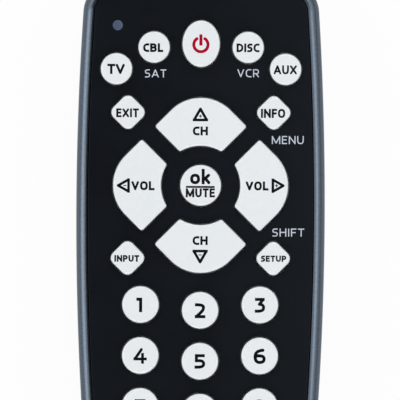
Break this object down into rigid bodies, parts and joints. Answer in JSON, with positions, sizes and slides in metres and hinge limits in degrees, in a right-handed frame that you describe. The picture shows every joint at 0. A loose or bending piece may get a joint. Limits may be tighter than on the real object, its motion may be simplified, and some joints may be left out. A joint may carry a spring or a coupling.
{
  "type": "universal remote control",
  "caption": "Handheld remote control with a waisted two-shell case, an arrow pad around a middle key, rows of moulded press keys, an infrared window and a sliding battery door.",
  "frame": {"origin": "middle of the back, on the surface that the remote lies on", "axes": "+X to the right of the face, +Y towards the infrared end, +Z out of the keys"},
  "size_m": [0.054, 0.172, 0.0236],
  "materials": {
    "face_plastic": "fine satin moulded black",
    "case_plastic": "satin gunmetal plastic",
    "key_plastic": "smooth satin white",
    "window_plastic": "dark infrared-clear gloss",
    "lens_plastic": "tinted clear gloss",
    "mat_rubber": "matt silicone",
    "board_laminate": "green solder mask",
    "contact_carbon": "printed carbon",
    "chip_plastic": "black moulding compound",
    "resonator_case": "blue dipped ceramic",
    "capacitor_sleeve": "dark shrink sleeve",
    "chip_ceramic": "ceramic chip parts",
    "diode_epoxy": "tinted clear epoxy",
    "indicator_epoxy": "red surface diode",
    "cell_jacket": "printed metal jacket",
    "contact_metal": "nickel-plated spring steel",
    "screw_steel": "zinc-plated steel"
  },
  "bodies": {
    "case": {"front_shell": "face_plastic", "rear_shell": "case_plastic", "ir_window": "window_plastic", "indicator_lens": "lens_plastic", "keypad_mat": "mat_rubber", "circuit_board": "board_laminate", "contact_pads": "contact_carbon", "controller_chip": "chip_plastic", "resonator": "resonator_case", "capacitor": "capacitor_sleeve", "chip_components": "chip_ceramic", "ir_diode": "diode_epoxy", "indicator_diode": "indicator_epoxy", "battery_left": "cell_jacket", "battery_right": "cell_jacket", "positive_terminal": "contact_metal", "negative_terminal": "contact_metal", "link_contact": "contact_metal", "contact_springs": "contact_metal", "case_screws": "screw_steel"},
    "battery_door": {"battery_door": "case_plastic"},
    "key_power": {"key_power": "key_plastic"},
    "key_tv": {"key_tv": "key_plastic"},
    "key_cable": {"key_cable": "key_plastic"},
    "key_disc": {"key_disc": "key_plastic"},
    "key_aux": {"key_aux": "key_plastic"},
    "key_exit": {"key_exit": "key_plastic"},
    "key_info": {"key_info": "key_plastic"},
    "key_input": {"key_input": "key_plastic"},
    "key_setup": {"key_setup": "key_plastic"},
    "key_channel_up": {"key_channel_up": "key_plastic"},
    "key_volume_down": {"key_volume_down": "key_plastic"},
    "key_channel_down": {"key_channel_down": "key_plastic"},
    "key_volume_up": {"key_volume_up": "key_plastic"},
    "key_ok": {"key_ok": "key_plastic"},
    "key_1": {"key_1": "key_plastic"},
    "key_2": {"key_2": "key_plastic"},
    "key_3": {"key_3": "key_plastic"},
    "key_4": {"key_4": "key_plastic"},
    "key_5": {"key_5": "key_plastic"},
    "key_6": {"key_6": "key_plastic"},
    "key_7": {"key_7": "key_plastic"},
    "key_8": {"key_8": "key_plastic"},
    "key_9": {"key_9": "key_plastic"},
    "key_dash": {"key_dash": "key_plastic"},
    "key_0": {"key_0": "key_plastic"},
    "key_enter": {"key_enter": "key_plastic"},
    "key_rewind": {"key_rewind": "key_plastic"},
    "key_play": {"key_play": "key_plastic"},
    "key_forward": {"key_forward": "key_plastic"},
    "key_record": {"key_record": "key_plastic"},
    "key_stop": {"key_stop": "key_plastic"},
    "key_pause": {"key_pause": "key_plastic"}
  },
  "joints": [
    {"name": "door_slide", "type": "slide", "parent": "case", "child": "battery_door", "axis": [0, -1, 0], "range_m": [0, 0.06]},
    {"name": "power_press", "type": "slide", "parent": "case", "child": "key_power", "axis": [0, 0, -1], "range_m": [0, 0.0009], "stiffness_N_per_m": 600, "deforming": ["keypad_mat"]},
    {"name": "tv_press", "type": "slide", "parent": "case", "child": "key_tv", "axis": [0, 0, -1], "range_m": [0, 0.0009], "stiffness_N_per_m": 600, "deforming": ["keypad_mat"]},
    {"name": "cable_press", "type": "slide", "parent": "case", "child": "key_cable", "axis": [0, 0, -1], "range_m": [0, 0.0009], "stiffness_N_per_m": 600, "deforming": ["keypad_mat"]},
    {"name": "disc_press", "type": "slide", "parent": "case", "child": "key_disc", "axis": [0, 0, -1], "range_m": [0, 0.0009], "stiffness_N_per_m": 600, "deforming": ["keypad_mat"]},
    {"name": "aux_press", "type": "slide", "parent": "case", "child": "key_aux", "axis": [0, 0, -1], "range_m": [0, 0.0009], "stiffness_N_per_m": 600, "deforming": ["keypad_mat"]},
    {"name": "exit_press", "type": "slide", "parent": "case", "child": "key_exit", "axis": [0, 0, -1], "range_m": [0, 0.0009], "stiffness_N_per_m": 600, "deforming": ["keypad_mat"]},
    {"name": "info_press", "type": "slide", "parent": "case", "child": "key_info", "axis": [0, 0, -1], "range_m": [0, 0.0009], "stiffness_N_per_m": 600, "deforming": ["keypad_mat"]},
    {"name": "input_press", "type": "slide", "parent": "case", "child": "key_input", "axis": [0, 0, -1], "range_m": [0, 0.0009], "stiffness_N_per_m": 600, "deforming": ["keypad_mat"]},
    {"name": "setup_press", "type": "slide", "parent": "case", "child": "key_setup", "axis": [0, 0, -1], "range_m": [0, 0.0009], "stiffness_N_per_m": 600, "deforming": ["keypad_mat"]},
    {"name": "channel_up_press", "type": "slide", "parent": "case", "child": "key_channel_up", "axis": [0, 0, -1], "range_m": [0, 0.0009], "stiffness_N_per_m": 600, "deforming": ["keypad_mat"]},
    {"name": "volume_down_press", "type": "slide", "parent": "case", "child": "key_volume_down", "axis": [0, 0, -1], "range_m": [0, 0.0009], "stiffness_N_per_m": 600, "deforming": ["keypad_mat"]},
    {"name": "channel_down_press", "type": "slide", "parent": "case", "child": "key_channel_down", "axis": [0, 0, -1], "range_m": [0, 0.0009], "stiffness_N_per_m": 600, "deforming": ["keypad_mat"]},
    {"name": "volume_up_press", "type": "slide", "parent": "case", "child": "key_volume_up", "axis": [0, 0, -1], "range_m": [0, 0.0009], "stiffness_N_per_m": 600, "deforming": ["keypad_mat"]},
    {"name": "ok_press", "type": "slide", "parent": "case", "child": "key_ok", "axis": [0, 0, -1], "range_m": [0, 0.0009], "stiffness_N_per_m": 600, "deforming": ["keypad_mat"]},
    {"name": "1_press", "type": "slide", "parent": "case", "child": "key_1", "axis": [0, 0, -1], "range_m": [0, 0.0009], "stiffness_N_per_m": 600, "deforming": ["keypad_mat"]},
    {"name": "2_press", "type": "slide", "parent": "case", "child": "key_2", "axis": [0, 0, -1], "range_m": [0, 0.0009], "stiffness_N_per_m": 600, "deforming": ["keypad_mat"]},
    {"name": "3_press", "type": "slide", "parent": "case", "child": "key_3", "axis": [0, 0, -1], "range_m": [0, 0.0009], "stiffness_N_per_m": 600, "deforming": ["keypad_mat"]},
    {"name": "4_press", "type": "slide", "parent": "case", "child": "key_4", "axis": [0, 0, -1], "range_m": [0, 0.0009], "stiffness_N_per_m": 600, "deforming": ["keypad_mat"]},
    {"name": "5_press", "type": "slide", "parent": "case", "child": "key_5", "axis": [0, 0, -1], "range_m": [0, 0.0009], "stiffness_N_per_m": 600, "deforming": ["keypad_mat"]},
    {"name": "6_press", "type": "slide", "parent": "case", "child": "key_6", "axis": [0, 0, -1], "range_m": [0, 0.0009], "stiffness_N_per_m": 600, "deforming": ["keypad_mat"]},
    {"name": "7_press", "type": "slide", "parent": "case", "child": "key_7", "axis": [0, 0, -1], "range_m": [0, 0.0009], "stiffness_N_per_m": 600, "deforming": ["keypad_mat"]},
    {"name": "8_press", "type": "slide", "parent": "case", "child": "key_8", "axis": [0, 0, -1], "range_m": [0, 0.0009], "stiffness_N_per_m": 600, "deforming": ["keypad_mat"]},
    {"name": "9_press", "type": "slide", "parent": "case", "child": "key_9", "axis": [0, 0, -1], "range_m": [0, 0.0009], "stiffness_N_per_m": 600, "deforming": ["keypad_mat"]},
    {"name": "dash_press", "type": "slide", "parent": "case", "child": "key_dash", "axis": [0, 0, -1], "range_m": [0, 0.0009], "stiffness_N_per_m": 600, "deforming": ["keypad_mat"]},
    {"name": "0_press", "type": "slide", "parent": "case", "child": "key_0", "axis": [0, 0, -1], "range_m": [0, 0.0009], "stiffness_N_per_m": 600, "deforming": ["keypad_mat"]},
    {"name": "enter_press", "type": "slide", "parent": "case", "child": "key_enter", "axis": [0, 0, -1], "range_m": [0, 0.0009], "stiffness_N_per_m": 600, "deforming": ["keypad_mat"]},
    {"name": "rewind_press", "type": "slide", "parent": "case", "child": "key_rewind", "axis": [0, 0, -1], "range_m": [0, 0.0009], "stiffness_N_per_m": 600, "deforming": ["keypad_mat"]},
    {"name": "play_press", "type": "slide", "parent": "case", "child": "key_play", "axis": [0, 0, -1], "range_m": [0, 0.0009], "stiffness_N_per_m": 600, "deforming": ["keypad_mat"]},
    {"name": "forward_press", "type": "slide", "parent": "case", "child": "key_forward", "axis": [0, 0, -1], "range_m": [0, 0.0009], "stiffness_N_per_m": 600, "deforming": ["keypad_mat"]},
    {"name": "record_press", "type": "slide", "parent": "case", "child": "key_record", "axis": [0, 0, -1], "range_m": [0, 0.0009], "stiffness_N_per_m": 600, "deforming": ["keypad_mat"]},
    {"name": "stop_press", "type": "slide", "parent": "case", "child": "key_stop", "axis": [0, 0, -1], "range_m": [0, 0.0009], "stiffness_N_per_m": 600, "deforming": ["keypad_mat"]},
    {"name": "pause_press", "type": "slide", "parent": "case", "child": "key_pause", "axis": [0, 0, -1], "range_m": [0, 0.0009], "stiffness_N_per_m": 600, "deforming": ["keypad_mat"]}
  ]
}
